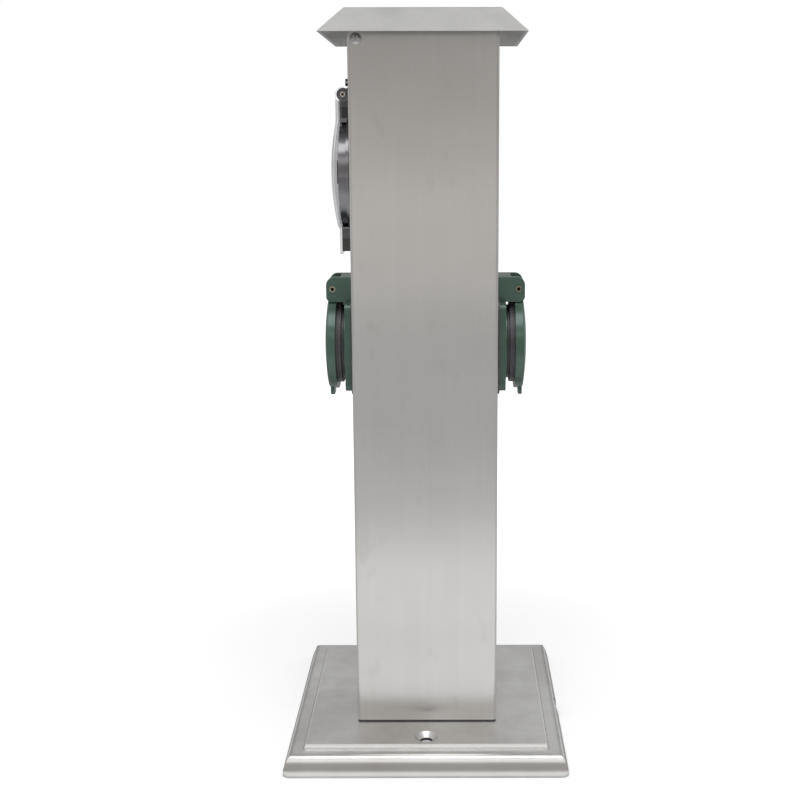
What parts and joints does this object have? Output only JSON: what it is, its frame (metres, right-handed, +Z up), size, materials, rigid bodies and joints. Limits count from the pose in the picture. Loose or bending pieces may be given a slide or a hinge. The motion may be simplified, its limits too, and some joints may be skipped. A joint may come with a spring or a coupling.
{
  "type": "garden socket post",
  "caption": "Square stainless post on a pressed tray with a pitched hollow roof, two lidded side sockets and a timer under a clear lid.",
  "frame": {"origin": "centre of the tray's underside, where it rests on the ground", "axes": "+Z up the post, -Y is the front in the picture, -X is the side with the timer"},
  "size_m": [0.158, 0.158, 0.4124],
  "materials": {
    "tray_steel": "satin pressed stainless",
    "post_steel": "brushed stainless",
    "roof_steel": "satin stainless",
    "zinc_steel": "zinc plated",
    "screw_chrome": "polished",
    "seal_rubber": "matte",
    "gland_grey": "matte",
    "terminal_white": "matte",
    "brass": "satin",
    "pin_brass": "satin",
    "live_wire": "satin",
    "neutral_wire": "satin",
    "earth_wire": "satin",
    "green_plastic": "satin moulded",
    "black_plastic": "satin moulded",
    "clear_plastic": "clear moulded",
    "dial_plastic": "satin",
    "tappet_plastic": "satin",
    "red_plastic": "satin"
  },
  "bodies": {
    "post_and_base": {"base_tray": "tray_steel", "foot_gasket": "seal_rubber", "post": "post_steel", "foot_plate": "zinc_steel", "foot_screws": "zinc_steel", "roof_cap": "roof_steel", "roof_bracket": "zinc_steel", "roof_screws": "screw_chrome", "gland_body": "gland_grey", "gland_seal": "seal_rubber", "gland_dome_nut": "gland_grey", "gland_lock_nut": "gland_grey", "terminal_bracket": "zinc_steel", "terminal_block": "terminal_white", "terminal_clamps": "brass", "earth_stud": "brass", "supply_live_wire": "live_wire", "switched_live_wires": "live_wire", "neutral_wires": "neutral_wire", "earth_wires": "earth_wire", "left_socket_gasket": "seal_rubber", "left_socket_front": "green_plastic", "left_lid_spring": "zinc_steel", "left_contact_carrier": "black_plastic", "left_contacts": "brass", "left_earth_clip": "brass", "right_socket_gasket": "seal_rubber", "right_socket_front": "green_plastic", "right_lid_spring": "zinc_steel", "right_contact_carrier": "black_plastic", "right_contacts": "brass", "right_earth_clip": "brass", "hinge_pins": "pin_brass", "socket_screws": "zinc_steel", "contact_screws": "zinc_steel", "timer_gasket": "seal_rubber", "timer_frame": "black_plastic", "timer_lid_pin": "pin_brass", "spindle": "zinc_steel", "movement_plate": "brass", "timer_motor": "zinc_steel", "micro_switch": "black_plastic", "timer_housing": "terminal_white", "timer_terminals": "black_plastic", "timer_screws": "zinc_steel"},
    "left_lid": {"left_lid": "green_plastic", "left_lid_seal": "seal_rubber"},
    "right_lid": {"right_lid": "green_plastic", "right_lid_seal": "seal_rubber"},
    "timer_lid": {"timer_lid": "clear_plastic"},
    "dial": {"dial": "dial_plastic"},
    "night_tappets": {"night_tappets": "tappet_plastic"},
    "morning_tappets": {"morning_tappets": "tappet_plastic"},
    "afternoon_tappets": {"afternoon_tappets": "tappet_plastic"},
    "evening_tappets": {"evening_tappets": "tappet_plastic"},
    "override_knob": {"override_knob": "red_plastic"},
    "drive_pinion": {"drive_pinion": "zinc_steel"},
    "switch_lever": {"switch_lever": "brass"}
  },
  "joints": [
    {"name": "left_lid_hinge", "type": "hinge", "parent": "post_and_base", "child": "left_lid", "pos_m": [-0.0525, 0, 0.2617], "axis": [0, 1, 0], "range_deg": [0, 110], "stiffness_Nm_per_rad": 0.02, "springref_deg": -34.38},
    {"name": "right_lid_hinge", "type": "hinge", "parent": "post_and_base", "child": "right_lid", "pos_m": [0.0525, 0, 0.2617], "axis": [0, -1, 0], "range_deg": [0, 110], "stiffness_Nm_per_rad": 0.02, "springref_deg": -34.38},
    {"name": "timer_lid_hinge", "type": "hinge", "parent": "post_and_base", "child": "timer_lid", "pos_m": [-0.0445, 0, 0.369], "axis": [0, 1, 0], "range_deg": [0, 100]},
    {"name": "dial_spin", "type": "hinge", "parent": "post_and_base", "child": "dial", "pos_m": [-0.04, 0, 0.3265], "axis": [-1, 0, 0], "continuous": true},
    {"name": "pinion_spin", "type": "hinge", "parent": "post_and_base", "child": "drive_pinion", "pos_m": [-0.035, 0.0225, 0.3265], "axis": [-1, 0, 0], "continuous": true},
    {"name": "night_tappet_push", "type": "slide", "parent": "dial", "child": "night_tappets", "axis": [1, 0, 0], "range_m": [0, 0.0025]},
    {"name": "morning_tappet_push", "type": "slide", "parent": "dial", "child": "morning_tappets", "axis": [1, 0, 0], "range_m": [0, 0.0025]},
    {"name": "afternoon_tappet_push", "type": "slide", "parent": "dial", "child": "afternoon_tappets", "axis": [1, 0, 0], "range_m": [0, 0.0025]},
    {"name": "evening_tappet_push", "type": "slide", "parent": "dial", "child": "evening_tappets", "axis": [1, 0, 0], "range_m": [0, 0.0025]},
    {"name": "override_turn", "type": "hinge", "parent": "post_and_base", "child": "override_knob", "pos_m": [-0.046, 0, 0.3265], "axis": [-1, 0, 0], "range_deg": [-40, 40]},
    {"name": "switch_lever_tilt", "type": "hinge", "parent": "post_and_base", "child": "switch_lever", "pos_m": [-0.0341, -0.025, 0.3205], "axis": [0, 1, 0], "range_deg": [0, 4], "stiffness_Nm_per_rad": 0.002, "springref_deg": -5.73}
  ],
  "couplings": [
    {"joint": "pinion_spin", "follows": "dial_spin", "ratio": -4}
  ]
}
